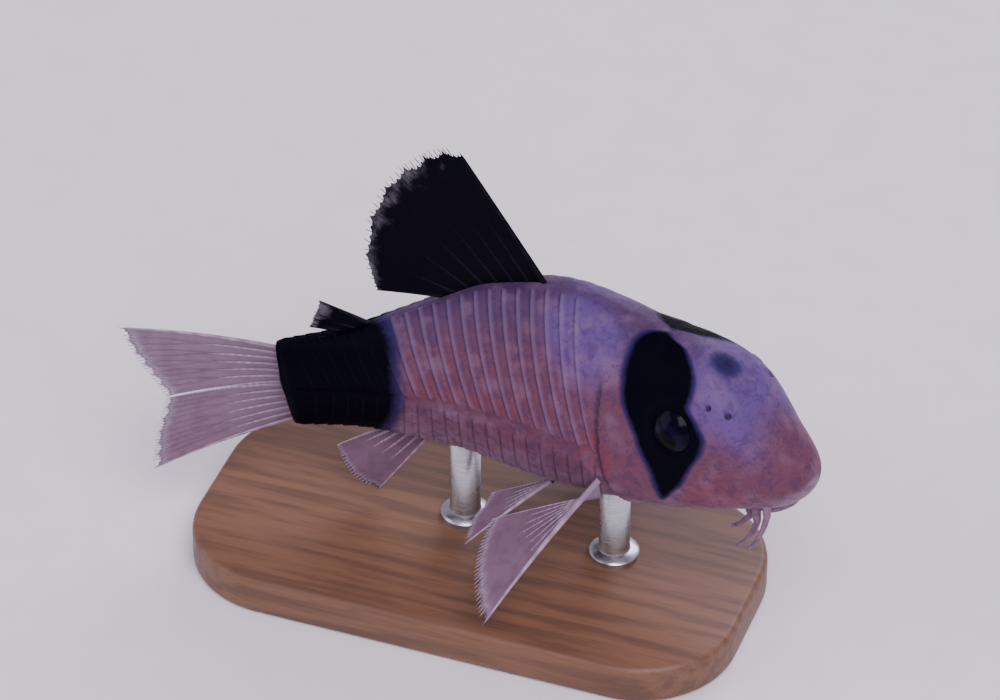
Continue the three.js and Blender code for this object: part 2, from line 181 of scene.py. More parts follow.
class Curve:
    """A smooth curve through the rows of a table, by each row's first number, that never overshoots them."""

    def __init__(self, rows):
        self.rows = rows
        self.slopes = []
        for key in range(1, len(rows[0])):
            rises = [(b[key] - a[key]) / (b[0] - a[0]) for a, b in zip(rows, rows[1:])]
            inner = [0 if p * q <= 0 else 2 * p * q / (p + q) for p, q in zip(rises, rises[1:])]
            self.slopes.append([rises[0], *inner, rises[-1]])

    def at(self, where):
        i = 0
        while i < len(self.rows) - 2 and self.rows[i + 1][0] < where:
            i += 1
        low, high = self.rows[i], self.rows[i + 1]
        span = high[0] - low[0]
        f = min(max((where - low[0]) / span, 0.0), 1.0)
        rise = f * f * (3 - 2 * f)
        values = []
        for key, slope in enumerate(self.slopes, 1):
            swell = span * (slope[i] * f * (1 - f) ** 2 - slope[i + 1] * f * f * (1 - f))
            values.append(mix(low[key], high[key], rise) + swell)
        return values


# The body's curve runs on the square root of the share, which makes the snout round
BODY = Curve([(math.sqrt(row[0]), *row[1:]) for row in STATIONS])
BAND = Curve(EYE_BAND)
BLOCK = Curve(TAIL_BLOCK)


def outline(at):
    """Top, underside, half width, widest share and the two powers of the section at a share."""
    return BODY.at(math.sqrt(min(max(at, 0.0), 1.0)))


def skin(at, angle, raised=0.0):
    """A point of the skin before the bend: angle 0 is the back, 90 the left side and 180 the belly."""
    top, under, half, wide, upper, lower = outline(at)
    turn = math.radians(angle)
    middle = mix(under, top, wide)
    up, across = math.cos(turn), math.sin(turn)
    power = 2 / (upper if up >= 0 else lower)
    y = half * math.copysign(abs(across) ** power, across)
    z = (top - middle if up >= 0 else middle - under) * math.copysign(abs(up) ** power, up)
    stretch = 1 + raised / max(math.hypot(y, z), 1e-6)
    return Vector((SNOUT_X - at * STANDARD_LENGTH, y * stretch, BELLY_Z + middle + z * stretch))


def outward(at, angle):
    """The direction straight out of the skin."""
    along = skin(at + 0.004, angle) - skin(at - 0.004, angle)
    around = skin(at, angle + 1) - skin(at, angle - 1)
    return around.cross(along).normalized()


def bent(point):
    """A point in millimetres after the body's bend and pitch."""
    turn = point.x / BEND_RADIUS
    reach = BEND_RADIUS + point.y
    x, z = reach * math.sin(turn), point.z - PIVOT_Z
    y = reach * math.cos(turn) - BEND_RADIUS + BEND_Y
    cos, sin = math.cos(PITCH), math.sin(PITCH)
    return Vector((x * cos - z * sin, y, PIVOT_Z + x * sin + z * cos))


def from_back(angle):
    """How many degrees an angle round the body is away from the back, on either side."""
    return abs((angle + 180) % 360 - 180)


def slanted(angle):
    """How far a plate's edge is shifted: forward at the mid side, back at the ridge and the belly."""
    return PLATE_SLANT * (abs(from_back(angle) - 90) / 90 - 0.5)


def gill_edge(angle):
    """The share at which the gill cover ends."""
    return GILL_AT + GILL_BULGE * math.sin(math.radians(angle)) ** 2


def angle_at_height(at, z):
    """The angle at which the skin is at a height above the belly."""
    low, high = 0.0, 180.0
    for _ in range(30):
        middle = (low + high) / 2
        low, high = (middle, high) if skin(at, middle).z - BELLY_Z > z else (low, middle)
    return low


def eye_centre(side):
    """The middle of the eyeball on the left side, 1, or the right side, -1."""
    surface = skin(EYE_AT, angle_at_height(EYE_AT, EYE_Z) * side)
    return surface - Vector((0, side * EYE_SUNK, 0))


def wrap(bm, columns, rows, place):
    """Adds a grid and has place(vert, column, row) put each of its points on a surface."""
    grid = bmesh.ops.create_grid(bm, x_segments=columns - 1, y_segments=rows - 1, size=1.0)
    for vert in grid["verts"]:
        column = round((vert.co.x + 1) / 2 * (columns - 1))
        row = round((vert.co.y + 1) / 2 * (rows - 1))
        place(vert, column, row)


def tube(bm, path, radii, sides, reference, flat=1.0, mark=None):
    """Adds a tube along a path of points, flattened along the reference direction."""
    rings = []
    for step, here in enumerate(path):
        ahead = path[min(step + 1, len(path) - 1)] - path[max(step - 1, 0)]
        side = ahead.cross(reference).normalized()
        rings.append((here, side, side.cross(ahead).normalized() * flat))

    def place(vert, column, row):
        here, side, up = rings[row]
        turn = math.tau * column / sides
        vert.co = bent(here + (side * math.cos(turn) + up * math.sin(turn)) * radii[row])
        if mark:
            mark(vert, row)

    wrap(bm, sides + 1, len(path), place)


def finish(bm, name, material, slot, *nodes):
    """Closes and smooths a mesh drawn in millimetres, and hands it over as a piece of the fish."""
    bmesh.ops.remove_doubles(bm, verts=bm.verts, dist=1e-4)
    bmesh.ops.recalc_face_normals(bm, faces=bm.faces)
    bmesh.ops.scale(bm, vec=(MM, MM, MM), verts=bm.verts)
    for face in bm.faces:
        face.smooth = True
    mesh = bpy.data.meshes.new(name)
    bm.to_mesh(mesh)
    bm.free()
    mesh.materials.append(material)
    piece = bpy.data.objects.new(name, mesh)
    bpy.context.scene.collection.objects.link(piece)
    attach(piece, "root")
    if nodes:
        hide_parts(*nodes)
    return piece


def linear(code):
    """The linear colour of an sRGB hex value."""
    channels = [int(code[i : i + 2], 16) / 255 for i in (1, 3, 5)]
    return (*(c / 12.92 if c <= 0.04045 else ((c + 0.055) / 1.055) ** 2.4 for c in channels), 1.0)


def add(tree, kind, inputs, **settings):
    """Adds a node with its settings, and sets or links its inputs."""
    made = tree.nodes.new(kind)
    for name, value in settings.items():
        setattr(made, name, value)
    for key, value in inputs.items():
        if isinstance(value, bpy.types.NodeSocket):
            tree.links.new(value, made.inputs[key])
        else:
            made.inputs[key].default_value = value
    return made


def empty_material(name):
    material = bpy.data.materials.new(name)
    material.use_nodes = True
    material.node_tree.nodes.clear()
    return material, material.node_tree


def layered(tree, ground, layers):
    """Lays colours over a ground one after another. Each has a source, its low and high, and a strength."""
    colour = ground
    for source, low, high, strength, over in layers:
        share = add(
            tree,
            "ShaderNodeMapRange",
            {0: source, 1: low, 2: high, 3: 0.0, 4: strength},
            interpolation_type="SMOOTHSTEP",
        )
        mixed = add(tree, "ShaderNodeMix", {0: share.outputs[0], 6: colour, 7: over}, data_type="RGBA")
        colour = mixed.outputs[2]
    return colour


def close_up(tree, shader):
    add(tree, "ShaderNodeOutputMaterial", {"Surface": shader.outputs[0]})


# Living skin of a scaleless catfish: pigmented, moist and thin over bone, so it has a soft shine, fine dark
# flecks and ragged edges to its black markings, which shine less than the rest
def skin_material(colours):
    material, tree = empty_material("moist_catfish_skin")
    place = add(tree, "ShaderNodeTexCoord", {}).outputs["Object"]
    blotch = add(tree, "ShaderNodeTexNoise", {"Vector": place, "Scale": 1 / (1.6 * MM), "Detail": 3.0})
    grain = add(tree, "ShaderNodeTexNoise", {"Vector": place, "Scale": 1 / (0.35 * MM), "Detail": 4.0})
    vein = add(
        tree,
        "ShaderNodeTexNoise",
        {"Vector": place, "Scale": 1 / (0.8 * MM), "Detail": 5.0, "Distortion": 1.2},
    )
    fleck = add(tree, "ShaderNodeTexVoronoi", {"Vector": place, "Scale": 1 / (0.3 * MM)})
    tone_and_sheen = add(tree, "ShaderNodeAttribute", {}, attribute_name="tone_and_sheen").outputs["Vector"]
    parts = add(tree, "ShaderNodeSeparateXYZ", {0: tone_and_sheen}).outputs
    marks = add(tree, "ShaderNodeAttribute", {}, attribute_name="marks").outputs["Vector"]
    black, seam, nostril_shade = add(tree, "ShaderNodeSeparateXYZ", {0: marks}).outputs
    margin = add(tree, "ShaderNodeAttribute", {}, attribute_name="margin").outputs["Fac"]
    ragged = []
    for source, spread, noise in ((parts[0], 0.16, blotch), (black, 0.12, grain)):
        shift = add(tree, "ShaderNodeMath", {0: noise.outputs[0], 1: 0.5}, operation="SUBTRACT")
        inputs = {0: shift.outputs[0], 1: spread, 2: source}
        ragged.append(add(tree, "ShaderNodeMath", inputs, operation="MULTIPLY_ADD").outputs[0])
    down, edge = ragged
    layers = (
        (down, 0.1, 0.34, 1.0, colours.flank),
        (down, 0.5, 0.8, 1.0, colours.belly),
        # Painted violet sheen on the snout, forehead and shoulder
        (parts[1], 0.0, 1.0, 0.85, colours.violet_sheen),
        (parts[2], 0.0, 1.0, 0.6, colours.red),
        (parts[0], 0.14, 0.02, 0.22, linear("#2c1e46")),
        (blotch.outputs[0], 0.46, 0.74, 0.4, colours.sheen),
        (vein.outputs[0], 0.5, 0.38, 0.35, linear("#36264e")),
        (fleck.outputs["Distance"], 0.28, 0.08, 0.35, colours.fleck),
        # Painted highlight on the plates' raised rear edges
        (margin, 0.1, 1.0, 0.28, colours.margin),
        (seam, 0.15, 1.0, 0.42, colours.fleck),
        (edge, 0.24, 0.5, 0.85, colours.halo),
        (edge, 0.44, 0.72, 1.0, colours.black),
        # Painted shade in the nostril holes
        (nostril_shade, 0.2, 0.9, 0.6, colours.black),
    )
    colour = layered(tree, colours.back, layers)
    gloss = add(tree, "ShaderNodeMapRange", {0: grain.outputs[0], 1: 0.3, 2: 0.7, 3: 0.4, 4: 0.56})
    shine = add(tree, "ShaderNodeMapRange", {0: edge, 1: 0.4, 2: 0.7, 3: 0.22, 4: 0.05})
    bump = add(tree, "ShaderNodeBump", {"Height": grain.outputs[0], "Distance": 0.06 * MM, "Strength": 0.55})
    shader = add(
        tree,
        "ShaderNodeBsdfPrincipled",
        {
            "Base Color": colour,
            "Roughness": gloss.outputs[0],
            "Normal": bump.outputs[0],
            "IOR": 1.38,
            "Specular IOR Level": shine.outputs[0],
        },
    )
    close_up(tree, shader)
    return material


# Fin skin stretched between bony rays: a thin film that lets light through, milky at its rim, with the
# pigment in streaks along the rays
def membrane_material(name, film, streak, solid, thinnest, shine):
    material, tree = empty_material(name)
    place = add(tree, "ShaderNodeTexCoord", {}).outputs["Object"]
    cloud = add(tree, "ShaderNodeTexNoise", {"Vector": place, "Scale": 1 / (0.9 * MM), "Detail": 4.0})
    marks = add(tree, "ShaderNodeAttribute", {}, attribute_name="marks").outputs["Vector"]
    clear, joint, rim = add(tree, "ShaderNodeSeparateXYZ", {0: marks}).outputs
    shift = add(tree, "ShaderNodeMath", {0: cloud.outputs[0], 1: 0.5}, operation="SUBTRACT").outputs[0]
    ragged = add(tree, "ShaderNodeMath", {0: shift, 1: 1.4, 2: clear}, operation="MULTIPLY_ADD").outputs[0]
    layers = (
        (cloud.outputs[0], 0.42, 0.68, 0.4, streak),
        (joint, 0.3, 1.0, 0.7, streak),
        (rim, 0.2, 1.0, 0.45, linear("#a898ac")),
        (ragged, 0.4, 0.75, 0.6, linear("#33283c")),
    )
    colour = layered(tree, film, layers)
    alpha = add(tree, "ShaderNodeMapRange", {0: ragged, 1: 0.3, 2: 1.0, 3: solid, 4: thinnest}).outputs[0]
    inputs = {
        "Base Color": colour,
        "Roughness": 0.5,
        "IOR": 1.38,
        "Specular IOR Level": shine,
        "Alpha": alpha,
    }
    close_up(tree, add(tree, "ShaderNodeBsdfPrincipled", inputs))
    return material


# A live eye: a wet, clear cornea over a black pupil, and a blue-black ring between it and the black rim
def eye_material(colours):
    material, tree = empty_material("wet_cornea")
    ring = add(tree, "ShaderNodeAttribute", {}, attribute_name="ring").outputs["Fac"]
    layers = (
        (ring, 0.36, 0.42, 1.0, colours.iris),
        (ring, 0.52, 0.66, 0.8, colours.black),
    )
    colour = layered(tree, linear("#030306"), layers)
    inputs = {"Base Color": colour, "Roughness": 0.16, "IOR": 1.36, "Specular IOR Level": 0.12}
    close_up(tree, add(tree, "ShaderNodeBsdfPrincipled", inputs))
    return material


# Oiled walnut, planed and sanded: long dark growth lines with fine pores along the base
def wood_material(colours):
    material, tree = empty_material("oiled_walnut")
    place = add(tree, "ShaderNodeTexCoord", {}).outputs["Object"]
    grain = add(tree, "ShaderNodeMapping", {"Vector": place, "Scale": (0.07, 1.0, 1.0)}).outputs[0]
    lines = add(tree, "ShaderNodeTexNoise", {"Vector": grain, "Scale": 1 / (0.7 * MM), "Detail": 5.0})
    pores = add(tree, "ShaderNodeTexNoise", {"Vector": grain, "Scale": 1 / (0.18 * MM), "Detail": 2.0})
    layers = (
        (lines.outputs[0], 0.38, 0.66, 0.6, colours.wood_dark),
        (pores.outputs[0], 0.55, 0.72, 0.35, colours.wood_dark),
    )
    colour = layered(tree, colours.wood, layers)
    bump = add(tree, "ShaderNodeBump", {"Height": pores.outputs[0], "Distance": 0.03 * MM, "Strength": 0.25})
    inputs = {"Base Color": colour, "Roughness": 0.5, "IOR": 1.5, "Normal": bump.outputs[0]}
    close_up(tree, add(tree, "ShaderNodeBsdfPrincipled", inputs))
    return material


# Turned stainless steel, lightly brushed round the rod
def steel_material(colours):
    material, tree = empty_material("brushed_stainless_steel")
    place = add(tree, "ShaderNodeTexCoord", {}).outputs["Object"]
    turned = add(tree, "ShaderNodeMapping", {"Vector": place, "Scale": (0.1, 0.1, 1.0)}).outputs[0]
    brush = add(tree, "ShaderNodeTexNoise", {"Vector": turned, "Scale": 1 / (0.12 * MM), "Detail": 3.0})
    gloss = add(tree, "ShaderNodeMapRange", {0: brush.outputs[0], 1: 0.3, 2: 0.7, 3: 0.22, 4: 0.38})
    inputs = {"Base Color": colours.steel, "Metallic": 1.0, "Roughness": gloss.outputs[0]}
    close_up(tree, add(tree, "ShaderNodeBsdfPrincipled", inputs))
    return material


# Matt studio paper
def floor_material(colours):
    material, tree = empty_material("matt_studio_paper")
    place = add(tree, "ShaderNodeTexCoord", {}).outputs["Object"]
    fibre = add(tree, "ShaderNodeTexNoise", {"Vector": place, "Scale": 1 / (4 * MM), "Detail": 3.0})
    colour = layered(tree, colours.floor, ((fibre.outputs[0], 0.4, 0.7, 0.25, linear("#dcd9dd")),))
    close_up(tree, add(tree, "ShaderNodeBsdfPrincipled", {"Base Color": colour, "Roughness": 0.85}))
    return material


def plate_share(at, angle):
    """How much of a plate stands at a place: none at the ridge, the mid side and the naked belly."""
    turn = from_back(angle)
    belly = mix(150, 170, smooth(0.55, 0.72, at))
    upper = smooth(6, 12, turn) * smooth(1.0, 5.0, 90 - turn)
    lower = smooth(1.0, 5.0, turn - 90) * smooth(0, 10, belly - turn)
    return upper if turn < 90 else lower


def eye_band(at, angle):
    """How deep inside the black eye band a place is, in millimetres."""
    middle, half = BAND.at(from_back(angle))
    return half - abs(at - middle) * STANDARD_LENGTH


def tail_block(at, angle):
    """How far behind the front of the tail's black block a place is, in millimetres."""
    (front,) = BLOCK.at(from_back(angle))
    return (at - front) * STANDARD_LENGTH


def spot(at, angle, patch):
    """How strongly a round patch of the head shows at a place."""
    where, middle, size, spread = PATCHES[patch]
    dx = (at - where) * STANDARD_LENGTH
    dy = math.radians(from_back(angle) - middle) * HEAD_RADIUS
    return 1 - smooth(size, size + spread, math.hypot(dx, dy))


def head_bones(at, angle):
    """Height of the bones that show through the head's skin, and how near the nape shield's edge is."""
    turn = from_back(angle)
    aside = math.radians(turn) * mix(*NAPE_RADII, smooth(0.2, 0.36, at))
    inside = mix(*SHIELD_HALF_WIDTHS, smooth(0.25, 0.385, at)) - aside
    along = window(0.235, 0.26, 0.375, 0.39, at)
    shield = SHIELD_HEIGHT * smooth(-0.1, 0.25, inside) * along
    cover = COVER_HEIGHT * spot(at, angle, "gill cover")
    cheek = CHEEK_HEIGHT * spot(at, angle, "cheek bone")
    brow = BROW_HEIGHT * hump(turn, 30, 9) * window(0.1, 0.17, 0.22, 0.3, at)
    return shield + cover + cheek + brow, hump(inside, 0, 0.16) * along


def gill_opening(at, angle):
    """Height of the gill cover's lip and of the groove behind it, and how near its dark line is."""
    ahead = (gill_edge(angle) - at) * STANDARD_LENGTH
    cover = window(35, 60, 150, 165, from_back(angle))
    height = GILL_LIP * math.exp(-ahead / 1.1) if ahead > 0 else -GILL_GROOVE * math.exp(ahead / 0.45)
    return cover * height, cover * (1 - smooth(0.1, 0.35, abs(ahead + 0.15)))


def eye_socket(here, eye):
    """Height of the rim round an eye, and the skin's hollow under the eyeball."""
    away = (here - eye).length
    rim = math.sqrt(max(away * away - EYE_SUNK**2, 0.0))
    return EYE_RIM_HEIGHT * hump(rim, EYE_RIM, 0.3) - EYE_SOCKET * (1 - smooth(0.9, 1.4, rim))


def nostril(here, centre, radius):
    """Height of a nostril's rim and hole, and how strong the painted shade in the hole is."""
    away = (here - centre).length / radius
    height = NOSTRIL_RIM * hump(away, 1.2, 0.35) - NOSTRIL_DEPTH * (1 - smooth(0.4, 0.95, away))
    return height, 1 - smooth(0.55, 1.0, away)


def skin_tone(at, angle):
    """How far down the side the colour is, how strong the painted violet sheen is, and how red it is."""
    turn = from_back(angle)
    down = max(turn / 180, 0.32 * (1 - smooth(0.03, 0.13, at)))
    # Where the painted violet sheen lies: the snout and forehead, and the shoulder
    snout = window(0.02, 0.1, 0.14, 0.26, at) * (1 - smooth(50, 88, turn))
    side_line = 0.55 * window(0.42, 0.5, 0.72, 0.78, at) * hump(turn, 80, 10)
    cheek = 0.6 * spot(at, angle, "cheek blush")
    violet_sheen = max(0.7 * snout, 0.65 * spot(at, angle, "shoulder"))
    return down, violet_sheen, max(side_line, cheek, spot(at, angle, "gill blush"))


def skin_columns():
    """The skin's rings: share of the length, height on a plate, seam, painted highlight on the plate's rear
    edge and share of full width.
    """
    columns = [(PLATES_FROM * (k / HEAD_COLUMNS) ** 1.7, 0.0, 0.0, 0.0, 1.0) for k in range(HEAD_COLUMNS)]
    pitch = (PLATES_TO - PLATES_FROM) / PLATES
    for plate in range(PLATES):
        for f, height in PLATE_PROFILE:
            groove = 0.5 * (1 - smooth(0.04, 0.14, abs(f - PLATE_GROOVE)))
            seam = max(1 - smooth(0.04, 0.3, f), groove)
            # The painted highlight lies towards the plate's raised rear edge
            margin = smooth(0.6, 0.9, f)
            columns.append((PLATES_FROM + (plate + f) * pitch, height, seam, margin, 1.0))
    return [*columns, *((1.0, 0.0, 0.0, 0.0, width) for width in (1.0, 0.94, 0.7, 0.0))]


class FishSizes(bpy.types.PropertyGroup):
    """Sizes of the fish's finer forms."""

    plate_height: bpy.props.FloatProperty(
        name="Plate height",
        description="How proud a plate's rear edge stands",
        default=0.11 * MM,
        unit="LENGTH",
    )
    eye_radius: bpy.props.FloatProperty(
        name="Eye radius", description="Radius of the eyeball", default=2.1 * MM, unit="LENGTH"
    )
    membrane: bpy.props.FloatProperty(
        name="Membrane", description="Thickness of a fin's membrane", default=0.12 * MM, unit="LENGTH"
    )
    ray: bpy.props.FloatProperty(
        name="Ray", description="Radius of a fin ray at its root", default=0.15 * MM, unit="LENGTH"
    )
    barbel: bpy.props.FloatProperty(
        name="Barbel", description="Radius of a barbel at its root", default=0.36 * MM, unit="LENGTH"
    )
    camera_distance: bpy.props.FloatProperty(
        name="Camera distance", description="From the lens to the fish", default=0.38, unit="LENGTH"
    )
    lens: bpy.props.FloatProperty(name="Lens", description="Focal length in millimetres", default=198.0)
    azimuth: bpy.props.FloatProperty(
        name="Azimuth", description="Camera's turn round the fish", default=math.radians(20), subtype="ANGLE"
    )
    elevation: bpy.props.FloatProperty(
        name="Elevation", description="Camera's height angle", default=math.radians(38.6), subtype="ANGLE"
    )


def colour_property(name, description, code):
    return bpy.props.FloatVectorProperty(
        name=name, description=description, default=linear(code), size=4, min=0, max=1, subtype="COLOR"
    )


class FishColours(bpy.types.PropertyGroup):
    """Colours of the fish, its stand and the floor."""

    back: colour_property("Back", "Dark mauve of the back", "#4b3251")
    flank: colour_property("Flank", "Mauve pink of the sides", "#613a4b")
    belly: colour_property("Belly", "Pale belly", "#84687a")
    violet_sheen: colour_property("Violet", "Sheen of the snout and shoulder", "#5f4a88")
    red: colour_property("Red", "Blush of the gills and side line", "#73353c")
    sheen: colour_property("Sheen", "Pinkish light blotches", "#7b6077")
    fleck: colour_property("Fleck", "Fine dark flecks and plate seams", "#1f1230")
    halo: colour_property("Halo", "Deep blue rim of the black markings", "#110f45")
    # Colour of the painted highlight on the plates' rear edges
    margin: colour_property("Margin", "Pale rear margins of the plates", "#7d6b92")
    black: colour_property("Black", "Eye band and tail block", "#03020d")
    film: colour_property("Film", "Membrane of the pale fins", "#7c6074")
    ray: colour_property("Ray", "Rays of the pale fins", "#a58f9f")
    iris: colour_property("Iris", "Thin ring round the pupil", "#0c0b20")
    wood: colour_property("Wood", "Walnut of the base", "#75513a")
    wood_dark: colour_property("Dark wood", "Growth lines and pores", "#4a3226")
    steel: colour_property("Steel", "Rods", "#c3c5c8")
    floor: colour_property("Floor", "Studio paper", "#e9e6ea")


class CATFISH_OT_skin(bpy.types.Operator):
    """One skin over head, trunk and tail stalk, with its plates, gill covers, nostrils and markings"""

    bl_idname = "catfish.skin"
    bl_label = "Skin"

    def execute(self, context):
        sizes = context.scene.fish_sizes
        height = sizes.plate_height / MM
        eyes = {side: eye_centre(side) for side in (-1, 1)}
        pits = [(skin(at, angle * side), radius) for at, angle, radius in NOSTRILS for side in (-1, 1)]
        columns = skin_columns()
        bm = bmesh.new()
        tone_and_sheen = bm.verts.layers.float_vector.new("tone_and_sheen")
        marks = bm.verts.layers.float_vector.new("marks")
        # This layer holds the painted highlight on the plates' rear edges
        pale = bm.verts.layers.float.new("margin")
        stump = (skin(1.0, 0) + skin(1.0, 180)) / 2

        def place(vert, column, row):
            share, plate, near_seam, near_plate_highlight, width = columns[column]
            angle = 360 * row / SKIN_ROWS
            turn = from_back(angle)
            in_plates = window(0.3, 0.4, 0.93, 1.0, share)
            at = min(share + slanted(angle) * in_plates, 1.0)
            here = skin(at, angle)

            stand = plate_share(at, angle) * smooth(PLATES_FROM - 0.01, PLATES_FROM + 0.04, share)
            bones, shield_edge = head_bones(at, angle)
            gill, gill_line = gill_opening(at, angle)
            socket = eye_socket(here, eyes[1 if 0 < angle < 180 else -1])
            raised = plate * height * stand + bones + gill + socket
            # Painted shade in the nostril holes
            nostril_shade = 0.0
            for centre, radius in pits:
                if (here - centre).length < 3 * radius:
                    rise, dark = nostril(here, centre, radius)
                    raised += rise
                    nostril_shade = max(nostril_shade, dark)
            top = skin(at, angle, raised)
            end = stump + Vector((-0.5 * math.sqrt(1 - width * width), 0, 0))
            vert.co = bent(end.lerp(top, width) if width < 1 else top)

            crown = spot(at, angle, "crown")
            black = max(0.5 + eye_band(at, angle) / 1.6, 0.4 + tail_block(at, angle) / 3.6, 0.56 * crown)
            mid_side = 1 - smooth(0.5, 3.0, abs(turn - 90))
            line = max(near_seam * stand, 0.3 * mid_side * in_plates, gill_line, 0.5 * shield_edge)
            vert[tone_and_sheen] = skin_tone(at, angle)
            vert[marks] = (min(max(black, 0.0), 1.0), line, nostril_shade)
            # Painted highlight on the plates' raised rear edges, strongest on the upper flank, which faces up
            # to the lights
            vert[pale] = near_plate_highlight * stand * smooth(0.0, 0.5, 1 - abs(turn - 45) / 60)

        wrap(bm, len(columns), SKIN_ROWS + 1, place)
        material = skin_material(context.scene.fish_colours)
        finish(bm, "skin", material, "skin", "head", "trunk", "tail_stalk")
        return {"FINISHED"}


class CATFISH_OT_eyes(bpy.types.Operator):
    """Eyeballs with a bulging cornea, pupil and iris ring"""

    bl_idname = "catfish.eyes"
    bl_label = "Eyes"

    def execute(self, context):
        radius = context.scene.fish_sizes.eye_radius / MM
        material = eye_material(context.scene.fish_colours)
        for side, word in ((1, "left"), (-1, "right")):
            bm = bmesh.new()
            ring = bm.verts.layers.float.new("ring")
            bmesh.ops.create_uvsphere(bm, u_segments=64, v_segments=40, radius=radius)
            bmesh.ops.rotate(bm, verts=bm.verts, matrix=Matrix.Rotation(math.radians(90), 3, "X"))
            centre = eye_centre(side)
            for vert in bm.verts:
                off_axis = math.hypot(vert.co.x, vert.co.z) / radius
                facing = vert.co.y * side > 0
                vert[ring] = off_axis if facing else 1.0
                if facing:
                    vert.co.y += side * 0.06 * (1 - smooth(0.0, 0.6, off_axis))
                vert.co = bent(vert.co + centre)
            finish(bm, "eyeball_" + word, material, "eye", "eye_" + word)
        return {"FINISHED"}


class Fin:
    """Where the rays of a fin run. q goes from the front ray to the last and f from root to tip."""

    def __init__(self, rays, root, direction, length, across, spine=1.0, curl=0.0, fray=0.045):
        self.rays = rays
        self.root = root
        self.direction = direction
        self.length = length
        self.across = across
        self.spine = spine
        self.curl = curl
        self.fray = fray

    def at(self, q, f, lift=0.0):
        ripple = 0.1 * math.sin(q * 9.0 + 1.0) * f
        away = self.length(q) * f - (ROOTED if f <= 0 else 0)
        aside = self.curl * f * abs(f) + ripple + lift
        return self.root(q) + self.direction(q) * away + self.across(q) * aside


def unit(x, y, z):
    return Vector((x, y, z)).normalized()


def lean(back):
    """A direction in the middle plane: 0 is straight up and 90 straight back."""
    return Vector((-math.sin(math.radians(back)), 0, math.cos(math.radians(back))))


def middle_fins():
    left = Vector((0, 1, 0))
    tail_x = SNOUT_X - STANDARD_LENGTH - NODE_GAP
    fins = {
        "dorsal_fin": Fin(
            8,
            lambda q: skin(mix(0.48, 0.69, q), 0, NODE_GAP),
            lambda q: lean(mix(22, 84, q**2.8)),
            lambda q: 10.9 * (1 + 0.5 * q) * (1 - 0.74 * q**1.5),
            lambda q: left,
            spine=1.5,
            fray=0.06,
        ),
        "adipose_fin": Fin(
            3,
            lambda q: skin(mix(0.835, 0.895, q), 0, NODE_GAP),
            lambda q: lean(mix(58, 78, q)),
            lambda q: mix(3.4, 1.6, q),
            lambda q: left,
            spine=1.4,
        ),
        "anal_fin": Fin(
            6,
            lambda q: skin(mix(0.765, 0.85, q), 180, NODE_GAP),
            lambda q: lean(180 - mix(46, 70, q)),
            lambda q: 7 * (1 - 0.45 * q**1.5),
            lambda q: left,
        ),
    }
    for side, word in ((1, "upper"), (-1, "lower")):
        fins["tail_fin_" + word] = Fin(
            7,
            lambda q, side=side: Vector(
                (tail_x - 0.3 * q, 0, BELLY_Z + 6.75 + side * mix(3.1, 0.12, q))
            ),
            lambda q, side=side: lean(86 - side * mix(16, -0.2, q)),
            lambda q: 11 - 3 * q,
            lambda q: left,
            spine=1.2,
            curl=-0.9,
        )
    return fins


def fin_root(at, angle, across, thick):
    out = outward(at, angle)
    return skin(at, angle) + out * (NODE_GAP + 0.15 + 1.3 * thick * abs(across.dot(out)))


def paired_fins(side, word):
    def pectoral_run(q):
        return unit(mix(-0.52, -0.95, q), side * mix(0.7, 0.28, q), mix(-0.48, -0.14, q))

    def pelvic_run(q):
        return unit(mix(-0.78, -0.97, q), side * mix(0.5, 0.1, q), mix(-0.38, -0.24, q))

    def pectoral_root(q):
        at = mix(0.372, 0.395, q)
        return fin_root(at, angle_at_height(at, mix(3.1, 1.4, q)) * side, pectoral, 0.38)

    pectoral = pectoral_run(0).cross(pectoral_run(1)).normalized()
    pelvic = pelvic_run(0).cross(pelvic_run(1)).normalized()
    return {
        "pectoral_fin_" + word: Fin(
            8, pectoral_root, pectoral_run, lambda q: 12.6 - 4.4 * q**1.1, lambda q: pectoral, spine=1.7
        ),
        "pelvic_fin_" + word: Fin(
            6,
            lambda q: fin_root(mix(0.515, 0.53, q), mix(146, 163, q) * side, pelvic, 0.34),
            pelvic_run,
            lambda q: 7.4 - 2.8 * q,
            lambda q: pelvic,
            spine=1.2,
        ),
    }


